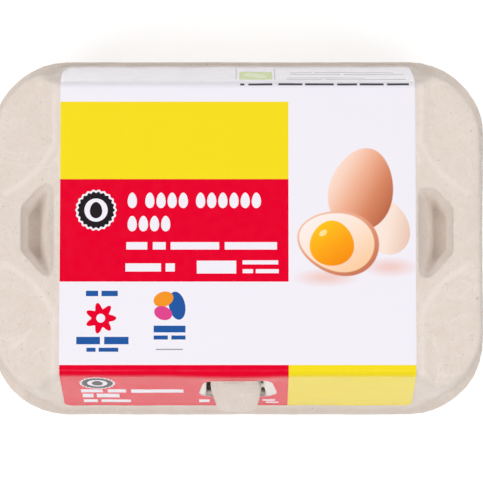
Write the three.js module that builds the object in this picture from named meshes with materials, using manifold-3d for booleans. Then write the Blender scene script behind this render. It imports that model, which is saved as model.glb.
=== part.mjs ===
// A shut moulded pulp carton for six eggs, with a paper label glued over its lid.
// Millimetres, +Z up. The origin is on the table under the middle of the carton,
// +X runs along the long side and -Y is the front, where the lid locks.
import * as THREE from 'three';
import { LoftGeometry } from 'three/addons/geometries/LoftGeometry.js';
import { mergeVertices } from 'three/addons/utils/BufferGeometryUtils.js';
import Module from 'manifold-3d';

const GAP = 0.3; // clearance between neighbouring solids

// Rim, where lid and base meet: each half has a flange that flares into its wall
const RIM = { halfLength: 75, halfDepth: 54, corner: 23 };
const SEAM = { height: 35, open: 0.4 };
const FLANGE = { edge: 1.9, flare: 2.2, round: 0.4 };
const KNEE = { inwards: 0.6, upwards: 0.35 }; // where the flare turns up, as shares of its run

// Lid: steep walls round the corners and ends, whose top lies a step below the middle
const LID_TOP = 69;
const LID_BOTTOM = SEAM.height + SEAM.open / 2;
const LID_FOOT = LID_BOTTOM + FLANGE.edge + FLANGE.flare;
const STEP = 0.7;
const PAD_FOOT = { halfLength: 73.4, halfDepth: 50.2, corner: 23 };
const PAD_HEAD = { halfLength: 71.9, halfDepth: 46.7, corner: 20.5 };
const PAD_SHOULDER = 4.5;

// Lid's raised middle, whose front and back walls lean more than the corners
const MIDDLE = { half: 55.2, footY: 51.1, headY: 43.2, shoulder: 3, run: 1.1, sink: 0.05 };
const NOTCH_FLARE = 2.6; // slope from the middle's leaning wall out to a corner
const BAND = { inner: 54.2, half: 25.5, bend: 59.2, bendHalf: 15.8, end: 66.2, endHalf: 10.6 };

// Pocket in each end of the lid, for stacking and for fingertips: its mouth and its floor
const POCKET_MOUTH = { innerX: 54.9, outerX: 64.1, innerHalf: 13.6, outerHalf: 6.2 };
const POCKET_FLOOR = { innerX: 58.1, outerX: 59.2, innerHalf: 8.6, outerHalf: 7.4 };
const POCKET_DEPTH = 11;

// Lock: a window in the lid's front wall, and a flap of the base with its button
const WALL_THICK = 1.6;
const FLAP = { half: 13, thick: 1.7, top: 62.6 };
const WINDOW = {
	bottom: 48.2, bottomHalf: 9, tipLow: 50.8, tipHigh: 52.8, tipHalf: 11.7,
	shoulder: 60.7, shoulderHalf: 10.4, top: 62.3, topHalf: 8.4
};
const BUTTON = {
	bottom: 48.5, bottomHalf: 5.6, wideAt: 0.6, wideHalf: 8.1, top: 61.6, topHalf: 7.4,
	reach: 53.6, bulge: 0.9, ridge: 0.3, round: 2.4, steps: 8
};
const SLIT = { x: 9.1, half: 0.6, bottom: 51.5, top: 58.5 }; // open cut beside the button

// Base: six round cups whose flat ends are the feet, joined by a tray under the rim
const BASE_TOP = SEAM.height - SEAM.open / 2;
const BASE_WALL = { halfLength: 72.9, halfDepth: 51.1, corner: 22 };
const CUP = { pitchX: 46.4, pitchY: 49.4, flat: 11.8, round: 3.2, top: 25.8, topZ: 30.4 };
const DIMPLE = { half: 6, run: 2, deep: 1 };
const TRAY = { low: 17, lowInset: 15, shoulder: 20.5, shoulderInset: 7 };
const PIT = { mouth: 7.2, mouthZ: 15, end: 4.4, endZ: 29 }; // hollow post between four cups
const HINGE = { half: 54, high: 5.4, deep: 2.4, round: 1.6 };

// Label
const LABEL = { halfLength: 52.5, foot: 40.6, thick: 0.4, corner: 3, windowMargin: 0.2 };

// Fineness of the round parts
const CORNER_STEPS = 9;
const SHOULDER_STEPS = 8;
const BAND_STEPS = 8;
const CUP_STEPS = 40;
const FOOT_STEPS = 4;
const PIT_STEPS = 24;
const BEYOND = 4; // how far a cutting solid passes the face that it opens

const { lerp } = THREE.MathUtils;
const pulp = () => new THREE.MeshStandardMaterial( { color: 0xe2d9cf, roughness: 0.95, metalness: 0 } );
const paper = () => new THREE.MeshStandardMaterial( { color: 0xf3f0f6, roughness: 0.45, metalness: 0 } );

const wasm = await Module();
wasm.setup();

// A closed geometry as a solid that can be joined and cut
function solid( geometry ) {

	const plain = new THREE.BufferGeometry();
	plain.setAttribute( 'position', geometry.attributes.position );
	plain.setIndex( geometry.index );
	const merged = mergeVertices( plain, 1e-4 );
	return new wasm.Manifold( new wasm.Mesh( {
		numProp: 3,
		vertProperties: merged.attributes.position.array,
		triVerts: new Uint32Array( merged.index.array )
	} ) );

}

// A solid back as a named mesh
function meshOf( name, made, material ) {

	const { numProp, vertProperties, triVerts } = made.getMesh();
	const corners = new Float32Array( vertProperties.length / numProp * 3 );
	for ( let i = 0; i < corners.length / 3; i ++ ) {

		corners.set( vertProperties.subarray( i * numProp, i * numProp + 3 ), i * 3 );

	}

	const geometry = new THREE.BufferGeometry();
	geometry.setAttribute( 'position', new THREE.BufferAttribute( corners, 3 ) );
	geometry.setIndex( new THREE.BufferAttribute( triVerts, 1 ) );
	geometry.computeVertexNormals();
	const mesh = new THREE.Mesh( geometry, material );
	mesh.name = name;
	return mesh;

}

// One level ring: a rectangle with round corners, counterclockwise seen from above
function ring( { halfLength, halfDepth, corner }, z ) {

	const points = [];
	for ( let quarter = 0; quarter < 4; quarter ++ ) {

		const signX = quarter === 0 || quarter === 3 ? 1 : - 1;
		const signY = quarter < 2 ? 1 : - 1;
		for ( let i = 0; i <= CORNER_STEPS; i ++ ) {

			const angle = ( quarter + i / CORNER_STEPS ) * Math.PI / 2;
			points.push( new THREE.Vector3(
				signX * ( halfLength - corner ) + corner * Math.cos( angle ),
				signY * ( halfDepth - corner ) + corner * Math.sin( angle ),
				z
			) );

		}

	}

	return points;

}

// A rectangle size drawn in by one distance all round
const inset = ( size, by ) => ( {
	halfLength: size.halfLength - by,
	halfDepth: size.halfDepth - by,
	corner: size.corner - by
} );

// A set of sizes a share of the way from one set to another
const between = ( from, to, share ) => Object.fromEntries(
	Object.keys( from ).map( ( key ) => [ key, lerp( from[ key ], to[ key ], share ) ] )
);

// A closed skin over rings of points, from the first to the last
function stack( rings ) {

	return solid( new LoftGeometry( rings, { capStart: true, capEnd: true } ) );

}

// An outline drawn in x = along Y and y = along Z, pushed along X
function alongX( shape, half ) {

	const geometry = new THREE.ExtrudeGeometry( shape, { depth: 2 * half, bevelEnabled: false } );
	geometry.applyMatrix4( new THREE.Matrix4().makeBasis(
		new THREE.Vector3( 0, 1, 0 ), new THREE.Vector3( 0, 0, 1 ), new THREE.Vector3( 1, 0, 0 )
	) );
	geometry.translate( - half, 0, 0 );
	return solid( geometry );

}

// An outline drawn in x = along X and y = along Z, pushed along Y from a far front plane
function alongY( shape, toY ) {

	const fromY = - RIM.halfDepth - BEYOND;
	const geometry = new THREE.ExtrudeGeometry( shape, { depth: toY - fromY, bevelEnabled: false } );
	geometry.rotateX( Math.PI / 2 );
	geometry.translate( 0, toY, 0 );
	return solid( geometry );

}

// The middle's front wall leans back: its outer face at height z
const WALL_LEAN = ( MIDDLE.footY - MIDDLE.headY ) / ( LID_TOP - LID_FOOT );
const wallY = ( z ) => - MIDDLE.footY + ( z - LID_FOOT ) * WALL_LEAN;

// Section across the lid's raised middle, from the front foot over the top to the back,
// moved outwards by an offset
function overTheLid( foot, offset ) {

	const tilt = Math.atan( WALL_LEAN );
	const centreZ = LID_TOP - MIDDLE.shoulder;
	const centreY = wallY( centreZ ) + MIDDLE.shoulder / Math.cos( tilt );
	const front = [ new THREE.Vector2( wallY( foot ) - offset / Math.cos( tilt ), foot ) ];
	for ( let i = 0; i <= SHOULDER_STEPS; i ++ ) {

		const angle = lerp( tilt, Math.PI / 2, i / SHOULDER_STEPS );
		front.push( new THREE.Vector2(
			centreY - ( MIDDLE.shoulder + offset ) * Math.cos( angle ),
			centreZ + ( MIDDLE.shoulder + offset ) * Math.sin( angle )
		) );

	}

	const back = front.map( ( p ) => new THREE.Vector2( - p.x, p.y ) ).reverse();
	return [ ...front, ...back ];

}

// Flange, steep walls, round shoulder and the low top of corners and ends
function pads() {

	const wallTop = LID_TOP - STEP - PAD_SHOULDER;
	const rings = [
		ring( inset( RIM, FLANGE.round ), LID_BOTTOM ),
		ring( RIM, LID_BOTTOM + FLANGE.round ),
		ring( RIM, LID_BOTTOM + FLANGE.edge ),
		ring( between( RIM, PAD_FOOT, KNEE.inwards ), LID_BOTTOM + FLANGE.edge + FLANGE.flare * KNEE.upwards ),
		ring( PAD_FOOT, LID_FOOT )
	];
	for ( let i = 0; i <= SHOULDER_STEPS; i ++ ) {

		const angle = i / SHOULDER_STEPS * Math.PI / 2;
		rings.push( ring(
			inset( PAD_HEAD, PAD_SHOULDER * ( 1 - Math.cos( angle ) ) ),
			wallTop + PAD_SHOULDER * Math.sin( angle )
		) );

	}

	return stack( rings );

}

// The room of the middle between the corner pads, wider where a pad stands further out
function middleRoom() {

	const half = MIDDLE.half + MIDDLE.run - GAP;
	const high = LID_TOP + BEYOND;
	const box = new THREE.BoxGeometry( 2 * half, 2 * RIM.halfDepth, high - LID_FOOT );
	box.translate( 0, 0, ( high + LID_FOOT ) / 2 );
	const level = ( z ) => [
		[ - half, 0 ], [ - half - NOTCH_FLARE, - NOTCH_FLARE ],
		[ half + NOTCH_FLARE, - NOTCH_FLARE ], [ half, 0 ]
	].map( ( [ x, outwards ] ) => new THREE.Vector3( x, wallY( z ) + STEP + outwards, z ) );
	const flare = stack( [ level( LID_FOOT ), level( high ) ] );
	return solid( box ).add( flare ).add( flare.rotate( [ 0, 0, 180 ] ) );

}

// The raised middle over front wall, top and back wall, falling away at both ends
function raisedMiddle() {

	const foot = lerp( LID_BOTTOM + FLANGE.edge, LID_FOOT, 0.7 );
	const fall = - STEP - MIDDLE.sink;
	const end = MIDDLE.half + MIDDLE.run;
	const stations = [ [ - end, fall ], [ - MIDDLE.half, 0 ], [ MIDDLE.half, 0 ], [ end, fall ] ];
	return stack( stations.map( ( [ x, offset ] ) => overTheLid( foot, offset )
		.reverse()
		.map( ( p ) => new THREE.Vector3( x, p.x, p.y ) ) ) );

}

// The band of the raised top that runs to both ends between the corner pads
function raisedBand() {

	const outline = ( grow, z ) => {

		const shape = new THREE.Shape();
		const quarters = [ [ 1, 1 ], [ 1, - 1 ], [ - 1, - 1 ], [ - 1, 1 ] ];
		quarters.forEach( ( [ sideX, sideY ], i ) => {

			const inner = [ sideX * BAND.inner, sideY * ( BAND.half + grow ) ];
			const bend = [ sideX * BAND.bend, sideY * ( BAND.bendHalf + grow ) ];
			const outer = [ sideX * ( BAND.end + grow ), sideY * ( BAND.endHalf + grow ) ];
			const [ first, last ] = i % 2 === 0 ? [ inner, outer ] : [ outer, inner ];
			if ( i === 0 ) shape.moveTo( ...first );
			else shape.lineTo( ...first );
			shape.quadraticCurveTo( ...bend, ...last );

		} );
		return shape.getPoints( BAND_STEPS ).reverse().map( ( p ) => new THREE.Vector3( p.x, p.y, z ) );

	};

	return stack( [
		outline( MIDDLE.run, LID_TOP - STEP - MIDDLE.sink ),
		outline( 0, LID_TOP )
	] );

}

// The room of one end pocket: a four-sided hollow that narrows to a small floor
function pocket( side ) {

	const level = ( p, z ) => {

		const points = [
			[ p.innerX, - p.innerHalf ], [ p.outerX, - p.outerHalf ],
			[ p.outerX, p.outerHalf ], [ p.innerX, p.innerHalf ]
		].map( ( [ x, y ] ) => new THREE.Vector3( side * x, y, z ) );
		return side > 0 ? points : points.reverse();

	};

	const above = between( POCKET_MOUTH, POCKET_FLOOR, - BEYOND / POCKET_DEPTH );
	return stack( [ level( POCKET_FLOOR, LID_TOP - POCKET_DEPTH ), level( above, LID_TOP + BEYOND ) ] );

}

// The window in the front wall, from well in front of it to a plane behind it
function windowRoom( margin, toY ) {

	const w = WINDOW;
	const middle = ( w.bottom + w.top ) / 2;
	const stretch = 1 + margin / ( w.top - middle );
	const right = [
		[ w.bottomHalf, w.bottom ], [ w.tipHalf, w.tipLow ], [ w.tipHalf, w.tipHigh ],
		[ w.shoulderHalf, w.shoulder ], [ w.topHalf, w.top ]
	].map( ( [ x, z ] ) => new THREE.Vector2( x + margin, middle + ( z - middle ) * stretch ) );
	const left = right.map( ( p ) => new THREE.Vector2( - p.x, p.y ) ).reverse();
	return alongY( new THREE.Shape( [ ...right, ...left ] ), toY );

}

// A plate parallel to the lid's front wall, between two depths behind its outer face
function leaningPlate( half, front, behind, low, high ) {

	return alongX( new THREE.Shape( [
		new THREE.Vector2( wallY( low ) + front, low ), new THREE.Vector2( wallY( low ) + behind, low ),
		new THREE.Vector2( wallY( high ) + behind, high ), new THREE.Vector2( wallY( high ) + front, high )
	] ), half );

}

function buildLid() {

	const flapRoom = leaningPlate(
		FLAP.half + GAP, WALL_THICK, WALL_THICK + FLAP.thick + 2 * GAP, LID_BOTTOM - BEYOND, FLAP.top + GAP
	);
	const behindWindow = wallY( WINDOW.top ) + WALL_THICK + GAP;
	const hingeRoom = new THREE.BoxGeometry( 2 * ( HINGE.half + GAP ), 2 * ( HINGE.deep + GAP ), HINGE.high );
	hingeRoom.translate( 0, RIM.halfDepth, SEAM.height );
	return pads()
		.subtract( middleRoom() )
		.add( raisedMiddle() )
		.add( raisedBand() )
		.subtract( pocket( 1 ) )
		.subtract( pocket( - 1 ) )
		.subtract( flapRoom )
		.subtract( windowRoom( 0, behindWindow ) )
		.subtract( solid( hingeRoom ) );

}

// The plate behind the window, open on both sides of the button
function flap() {

	const behind = WALL_THICK + GAP + FLAP.thick;
	const slit = leaningPlate( SLIT.half, 0, behind + GAP, SLIT.bottom, SLIT.top );
	return leaningPlate( FLAP.half, WALL_THICK + GAP, behind, BASE_TOP - FLANGE.edge, FLAP.top )
		.subtract( slit.translate( [ SLIT.x, 0, 0 ] ) )
		.subtract( slit.translate( [ - SLIT.x, 0, 0 ] ) );

}

// The button: level outlines from its hooked underside up its ramp to the window's top
function button() {

	const b = BUTTON;
	const rings = [];
	for ( let i = 0; i <= b.steps; i ++ ) {

		const share = i / b.steps;
		const z = lerp( b.bottom, b.top, share );
		const backY = wallY( z ) + WALL_THICK + GAP + FLAP.thick / 2;
		const frontY = lerp( - b.reach, wallY( b.top ), share ) - b.bulge * Math.sin( Math.PI * share );
		const half = share < b.wideAt
			? lerp( b.bottomHalf, b.wideHalf, Math.sin( share / b.wideAt * Math.PI / 2 ) )
			: lerp( b.wideHalf, b.topHalf, ( share - b.wideAt ) / ( 1 - b.wideAt ) );
		const cut = Math.min( b.round, ( backY - frontY ) / 3 );
		const mid = cut * ( 1 - Math.SQRT1_2 );
		const right = [
			[ half - cut, frontY ], [ half - mid, frontY + mid ], [ half, frontY + cut ], [ half, backY ]
		];
		const left = right.map( ( [ x, y ] ) => [ - x, y ] ).reverse();
		rings.push( [ ...left, [ 0, frontY - b.ridge ], ...right ]
			.map( ( [ x, y ] ) => new THREE.Vector3( x, y, z ) ) );

	}

	return stack( rings );

}

// One cup: dimpled foot, round edge and leaning wall, turned about the cup's axis
function cup( x, y ) {

	const lean = Math.atan2( CUP.top - CUP.flat - CUP.round, CUP.topZ );
	const profile = [
		new THREE.Vector2( 0, DIMPLE.deep ), new THREE.Vector2( DIMPLE.half - DIMPLE.run, DIMPLE.deep ),
		new THREE.Vector2( DIMPLE.half, 0 ), new THREE.Vector2( CUP.flat, 0 )
	];
	for ( let i = 1; i <= FOOT_STEPS; i ++ ) {

		const angle = i / FOOT_STEPS * ( Math.PI / 2 - lean );
		profile.push( new THREE.Vector2(
			CUP.flat + CUP.round * Math.sin( angle ), CUP.round * ( 1 - Math.cos( angle ) )
		) );

	}

	profile.push( new THREE.Vector2( CUP.top, CUP.topZ ), new THREE.Vector2( 0, CUP.topZ ) );
	const geometry = new THREE.LatheGeometry( profile, CUP_STEPS );
	geometry.rotateX( Math.PI / 2 );
	geometry.translate( x, y, 0 );
	return solid( geometry );

}

// The tray that joins the cups, with the rim's flange at its top
function tray() {

	const flareTop = BASE_TOP - FLANGE.edge;
	return stack( [
		ring( inset( BASE_WALL, TRAY.lowInset ), TRAY.low ),
		ring( inset( BASE_WALL, TRAY.shoulderInset ), TRAY.shoulder ),
		ring( BASE_WALL, flareTop - FLANGE.flare ),
		ring( between( RIM, BASE_WALL, KNEE.inwards ), flareTop - FLANGE.flare * KNEE.upwards ),
		ring( RIM, flareTop ),
		ring( RIM, BASE_TOP - FLANGE.round ),
		ring( inset( RIM, FLANGE.round ), BASE_TOP )
	] );

}

// The folded strip along the back edge that joins the two halves
function hingeFold() {

	const outerY = RIM.halfDepth;
	const innerY = outerY - HINGE.deep;
	const low = SEAM.height - HINGE.high / 2;
	const high = SEAM.height + HINGE.high / 2 - GAP;
	const shape = new THREE.Shape();
	shape.moveTo( innerY, low );
	shape.lineTo( outerY - HINGE.round, low );
	shape.quadraticCurveTo( outerY, low, outerY, low + HINGE.round );
	shape.lineTo( outerY, high - HINGE.round );
	shape.quadraticCurveTo( outerY, high, outerY - HINGE.round, high );
	shape.lineTo( innerY, high );
	return alongX( shape, HINGE.half );

}

function buildBase() {

	let base = tray();
	for ( const column of [ - 1, 0, 1 ] ) {

		for ( const row of [ - 0.5, 0.5 ] ) base = base.add( cup( column * CUP.pitchX, row * CUP.pitchY ) );

	}

	for ( const side of [ - 0.5, 0.5 ] ) {

		const hollow = new THREE.CylinderGeometry( PIT.end, PIT.mouth, PIT.endZ - PIT.mouthZ, PIT_STEPS );
		hollow.rotateX( Math.PI / 2 );
		hollow.translate( side * CUP.pitchX, 0, ( PIT.endZ + PIT.mouthZ ) / 2 );
		base = base.subtract( solid( hollow ) );

	}

	return base.add( hingeFold() ).add( flap() ).add( button() );

}

// What the label's round corners leave of an endless sheet, seen from the front
function labelOutline() {

	const { halfLength, foot, corner } = LABEL;
	const wide = halfLength + BEYOND;
	const shape = new THREE.Shape();
	shape.moveTo( - wide, foot + corner );
	shape.lineTo( - halfLength, foot + corner );
	shape.quadraticCurveTo( - halfLength, foot, - halfLength + corner, foot );
	shape.lineTo( halfLength - corner, foot );
	shape.quadraticCurveTo( halfLength, foot, halfLength, foot + corner );
	shape.lineTo( wide, foot + corner );
	shape.lineTo( wide, LID_TOP + BEYOND );
	shape.lineTo( - wide, LID_TOP + BEYOND );
	return shape;

}

// The label follows the lid's raised middle over front, top and back
function buildLabel() {

	const outer = overTheLid( LABEL.foot - 1, GAP + LABEL.thick );
	const inner = overTheLid( LABEL.foot - 1, GAP ).reverse();
	return alongX( new THREE.Shape( [ ...outer, ...inner ] ), LABEL.halfLength )
		.intersect( alongY( labelOutline(), RIM.halfDepth + BEYOND ) )
		.subtract( windowRoom( LABEL.windowMargin, 0 ) );

}

const carton = new THREE.Group();
carton.add( meshOf( 'carton_base', buildBase(), pulp() ) );
carton.add( meshOf( 'carton_lid', buildLid(), pulp() ) );
carton.add( meshOf( 'label', buildLabel(), paper() ) );

export default carton;
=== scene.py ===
import math

import bmesh
import bpy
from bpy.props import FloatProperty, FloatVectorProperty, IntProperty, PointerProperty
from mathutils import Matrix, Vector, noise


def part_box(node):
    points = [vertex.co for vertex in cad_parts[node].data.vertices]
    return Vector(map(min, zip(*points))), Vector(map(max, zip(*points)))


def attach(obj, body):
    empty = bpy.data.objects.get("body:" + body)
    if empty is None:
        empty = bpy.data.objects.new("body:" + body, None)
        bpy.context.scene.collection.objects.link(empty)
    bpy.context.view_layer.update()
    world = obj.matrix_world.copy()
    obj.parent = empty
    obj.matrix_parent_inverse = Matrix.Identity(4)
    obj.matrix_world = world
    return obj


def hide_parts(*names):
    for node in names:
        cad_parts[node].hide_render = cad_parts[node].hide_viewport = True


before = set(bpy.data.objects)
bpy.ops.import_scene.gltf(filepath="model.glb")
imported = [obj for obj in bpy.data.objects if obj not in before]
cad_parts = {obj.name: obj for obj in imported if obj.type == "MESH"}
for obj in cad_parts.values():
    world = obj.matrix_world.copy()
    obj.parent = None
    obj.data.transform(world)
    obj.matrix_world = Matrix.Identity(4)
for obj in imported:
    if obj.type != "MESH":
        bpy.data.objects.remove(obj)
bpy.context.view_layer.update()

bl_info = {
    "name": "Shut egg carton",
    "version": (1, 0, 0),
    "blender": (4, 5, 0),
    "location": "3D View > Sidebar > Egg carton",
    "description": "Dresses the shut carton: moulded pulp halves, lock, hinge fold and printed label",
    "category": "Add Mesh",
}

MM = 0.001
LID_LOW, LID_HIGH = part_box("carton_lid")
LABEL_LOW, LABEL_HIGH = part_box("label")

# Where lid and base meet
SEAM_OPEN = 0.4 * MM
BASE_TOP = LID_LOW.z - SEAM_OPEN
SEAM = LID_LOW.z - SEAM_OPEN / 2

# The lid's raised middle, whose front and back walls lean inwards
MIDDLE_FOOT = (51.1 * MM, 39.3 * MM)  # Y and Z at the wall's foot
MIDDLE_HEAD = (43.2 * MM, LID_HIGH.z)  # Y and Z where the wall would meet the top
WALL_TILT = math.atan((MIDDLE_FOOT[0] - MIDDLE_HEAD[0]) / (MIDDLE_HEAD[1] - MIDDLE_FOOT[1]))

# The label over it
LABEL_HALF = LABEL_HIGH.x + 0.15 * MM
LABEL_FOOT = LABEL_LOW.z
LABEL_SHOULDER = 2.3 * MM  # radius of its bend from the top to a wall
LABEL_CORNER = {-1: 3 * MM, 1: 0.7 * MM}  # at its front and its back end
LABEL_MARGIN = 0.08 * MM  # unprinted edge
LABEL_WIDEN = {(-1, -1): 0, (1, -1): 0.004, (-1, 1): 0.02, (1, 1): 0.004}  # spread of its four corners
LABEL_SHARP = math.radians(40)
BEND_STEPS = 9
SHEET_ROW = 1.6 * MM
SHEET_COLUMN = 1.75 * MM

# Window in the front wall, as half widths at heights in millimetres
WINDOW = ((9.0, 49.2), (11.6, 51.6), (11.6, 53.4), (10.3, 61.8), (8.4, 63.6))
WINDOW_ROUND = 0.9 * MM
SWELL = 0.5 * MM  # how far the wall above the window is pushed out by the button
SWELL_HALF = 14 * MM
SWELL_TOP = 1.0 * MM  # it grows in over this much under the lid's top
SWELL_FULL = 66.5 * MM
SWELL_LOW = 63 * MM  # and is gone at this height

# Front and back wall bulge towards their feet, the back wall more
FRONT_LEAN = 0.45 * MM
BACK_LEAN = 1.4 * MM
LEAN_FOOT = 39 * MM
LEAN_HALF = 52 * MM
LEAN_FADE = 3 * MM
LEAN_OUTSIDE = (30 * MM, 40 * MM)  # distances from the middle where it starts and is full

# Pads at the lid's ends in the frame: half length, half width, corner radius and height, at foot and head
PAD_FOOT = (73.4 * MM, 50.2 * MM, 23 * MM, 39.3 * MM)
PAD_HEAD = (71.9 * MM, 46.7 * MM, 20.5 * MM, LID_HIGH.z)
PAD_TOP = LID_HIGH.z - 0.7 * MM
PAD_SHOULDER = 4.5 * MM  # its radius in the frame
PAD_TIGHT = 1.9 * MM  # and here
PAD_EASE = 8 * MM  # over this length beyond the shoulder the surface gives way for it
PAD_START = (54.8 * MM, 59 * MM)  # distances from the middle where this starts and is full
PAD_TIGHT_FADE = (12 * MM, 20 * MM)  # depths between which it ends
# How much the pads are larger here in millimetres, by quarter: half length, half width and squareness
# of the corner, at foot and head
PAD_GROWTH = {
    (-1, -1): ((0.0, 1.2, 0.4), (0.1, 2.2, 1.4)), (1, -1): ((0.0, 1.2, 0.4), (0.0, 2.2, 1.2)),
    (-1, 1): ((0.0, 0.4, 0.0), (0.0, 1.1, 0.2)), (1, 1): ((0.0, 0.1, 0.0), (0.0, 0.2, 0.0)),
}
PAD_GROWTH_FADE = (2 * MM, 14 * MM)  # lengths inwards between which it ends
PAD_GROWTH_RISE = 2 * MM

# The rim stands out further at the back than in the frame
RIM_BACK = 0.52 * MM
RIM_BACK_ZONE = (12 * MM, 36 * MM)
RIM_CORNERS_OUT = 0.6 * MM
RIM_RISE = (20 * MM, 33 * MM)  # heights where it starts and is full
RIM_END = (37.4 * MM, 40.4 * MM)  # and where it ends

# Lock: a flap behind the wall, which leans further back where the window shows it
WALL_THICK = 1.6 * MM
FLAP_HALF = 12.6 * MM
FLAP_THICK = 1.7 * MM
FLAP_TOP = 63 * MM
FLAP_BEHIND = WALL_THICK + 0.3 * MM
FLAP_AT_SILL = 0.15 * MM  # behind the wall's face at the window's sill
FLAP_SILL = 48.6 * MM
FLAP_BEND = 2 * MM
FLAP_LEAN = 0.8
EAR_BEHIND = 0.05 * MM  # the wall beside the button, behind the lid's face
EAR_LEFT = (-9.6 * MM, -9.2 * MM)  # its inner sides, at the foot and at the head
EAR_RIGHT = (8.5 * MM, 7.2 * MM)
EAR_LOW = 47.5 * MM
EAR_HIGH = 64.5 * MM
# strength of the painted light on the wall beside the button, which lies in the window's shade
EAR_PAINTED_LIGHT = 1.0
EAR_MARGIN = 0.3 * MM
SLITS = (-7.9 * MM, 5.2 * MM)  # inner sides of the open cuts beside the button
SLIT_LOW = 48.8 * MM
SLIT_HIGH = 61.5 * MM
FLAP_FOOT = BASE_TOP - 0.5 * MM
FLAP_ROWS = 30
LOCK_CALM = 0.6  # share of the halves' unevenness
LOCK_ROOM_DEEP = 12 * MM
LOCK_ROOM_BELOW = MM
LOCK_ROOM_ABOVE = 0.5 * MM
LOCK_ROOM_BESIDE = 0.3 * MM

# Button
BUTTON_LOW = 48.5 * MM
BUTTON_HIGH = 62.6 * MM
BUTTON_REACH = 52.8 * MM
BUTTON_BULGE = 0.9 * MM
BUTTON_CROWN = (0.8 * MM, 3.4 * MM)  # how far its middle stands out, below and above
BUTTON_CROWN_POWER = 2.6
BUTTON_SIDES = (  # share of its height, then how far it reaches left and right in millimetres
    (0.0, -6.1, 5.3), (0.04, -6.4, 5.7), (0.27, -6.8, 6.3),
    (0.58, -8.0, 7.0), (0.92, -8.3, 5.7), (1.0, -7.8, 5.1),
)
BUTTON_ROWS = 20
BOX_COLUMNS = 12

# Pocket in each end: a six-sided hollow
POCKET_STEPS = 12
POCKET_SIDES = 96
POCKET_CORNER_TURN = math.radians(41.5)
POCKET_FILL = 0.5 * MM  # how far the fill of the frame's own pocket reaches into its walls
MOUTH_ZONE = (51 * MM, 16 * MM, 57 * MM)  # the mouths lie beyond this X, within this Y and over this Z
MOUTH_SHARP = math.radians(12)
# Its floor's height, its middle and its sides in millimetres, the sides on the floor and at the mouth.
# The curve and the flare are powers: over 1 a wall leans out more towards the mouth.
POCKET_FLARE = 1.3
FRAME_POCKET = {
    "low": 58, "middle": 59.3, "outer": (60.2, 64.0), "inner": (58.5, 53.6), "curve": 2.2,
    "front": (8.0, 14.8), "back": (8.0, 13.2), "front_slant": (4.6, 7.45), "back_slant": (4.6, 7.65),
}
POCKETS = {
    -1: {
        "low": 57, "middle": 61.4, "outer": (62.6, 64.2), "inner": (59.5, 54.3), "curve": 1.1,
        "front": (10.2, 14.3), "back": (9.5, 13.2), "front_slant": (3.9, 6.5), "back_slant": (3.9, 6.4),
    },
    1: {
        "low": 57, "middle": 60.6, "outer": (62.3, 63.8), "inner": (59.2, 53.2), "curve": 1.1,
        "front": (10.5, 14.8), "back": (9, 12.2), "front_slant": (4.4, 7.2), "back_slant": (4.1, 6.5),
    },
}

# Crest where the raised band of the lid's top ends, as corners of a curve
CREST = ((54.6 * MM, 52 * MM), (54.3 * MM, 25.5 * MM), (59.2 * MM, 15.8 * MM), (66.2 * MM, 10.6 * MM))
CREST_WIDE = 0.8 * MM
CREST_HIGH = 0.35 * MM
CREST_STEPS = 24
# strength of the painted highlight along the crest
CREST_HIGHLIGHT = 0.5
CREST_ZONE = (3 * MM, 4 * MM)  # it is felt this far inwards and downwards
CREST_LEAST = 0.01

# Hinge fold along the back edge
HINGE_HALF = 55.8 * MM
RIM_STRAIGHT = 52 * MM  # beyond this the rim turns its corner
RIM_CORNER = 23 * MM
HINGE_LOW = SEAM - 2.7 * MM
HINGE_HIGH = SEAM + 2.6 * MM
HINGE_DEEP = 3.0 * MM
HINGE_PROUD = 0.05 * MM
HINGE_ROUND = 0.7 * MM
HINGE_CREASE = 0.45 * MM
HINGE_CREASE_HALF = 0.5 * MM
HINGE_COLUMNS = 36
HINGE_CALM = 0.5

# Unevenness of the pulp
WAVE_LENGTH = 17 * MM
LUMP_LENGTH = 2.6 * MM
LUMP_PLACE = Vector((7, 3, 1))
FEET_CALM = (0.5 * MM, 3 * MM)  # heights where it starts and is full
RIM_ZONE = 2.4 * MM

BASE_TRIM = 0.05 * MM
MERGE_DISTANCE = 1e-6
ROOT = "root"
PULP = "felted_pulp"
PAPER = "printed_paper"
PAPER_EDGE = "paper_edge"
SHEET_UV = "sheet"  # the label laid flat, in millimetres
BAKE_UV = "OFBake"
BAKE_EDGE = 0.005
BAKE_FRONT = (0.93, 0.99)  # width and height of the front's part of the map
BAKE_BACK = (0.942, 0.035)  # start and width of the back's part beside it
BAKE_RIM = (0.985, 0.01)  # and of the cut edges' part
BAKE_RIM_LENGTH = 320  # millimetres of cut edge over the map's height
BAKE_RIM_SLANT = 0.7
PAINTED_LIGHT = "painted_light"  # how much painted light a place has: a painted highlight along the crests, and painted light on the shaded ears beside the button


def paint(red, green, blue):
    """A colour given in screen values of 0 to 255, as the linear one that nodes take."""
    def channel(value):
        share = value / 255
        return share / 12.92 if share <= 0.04045 else ((share + 0.055) / 1.055) ** 2.4
    return (channel(red), channel(green), channel(blue))


def colour_setting(name, description, default):
    return FloatVectorProperty(
        name=name, description=description, subtype="COLOR", default=default, min=0, max=1,
    )


def length_setting(name, description, default, least=0.0):
    return FloatProperty(name=name, description=description, default=default, min=least, unit="LENGTH")


def share_setting(name, description, default):
    return FloatProperty(
        name=name, description=description, default=default, min=0, max=1, subtype="FACTOR",
    )


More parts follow.
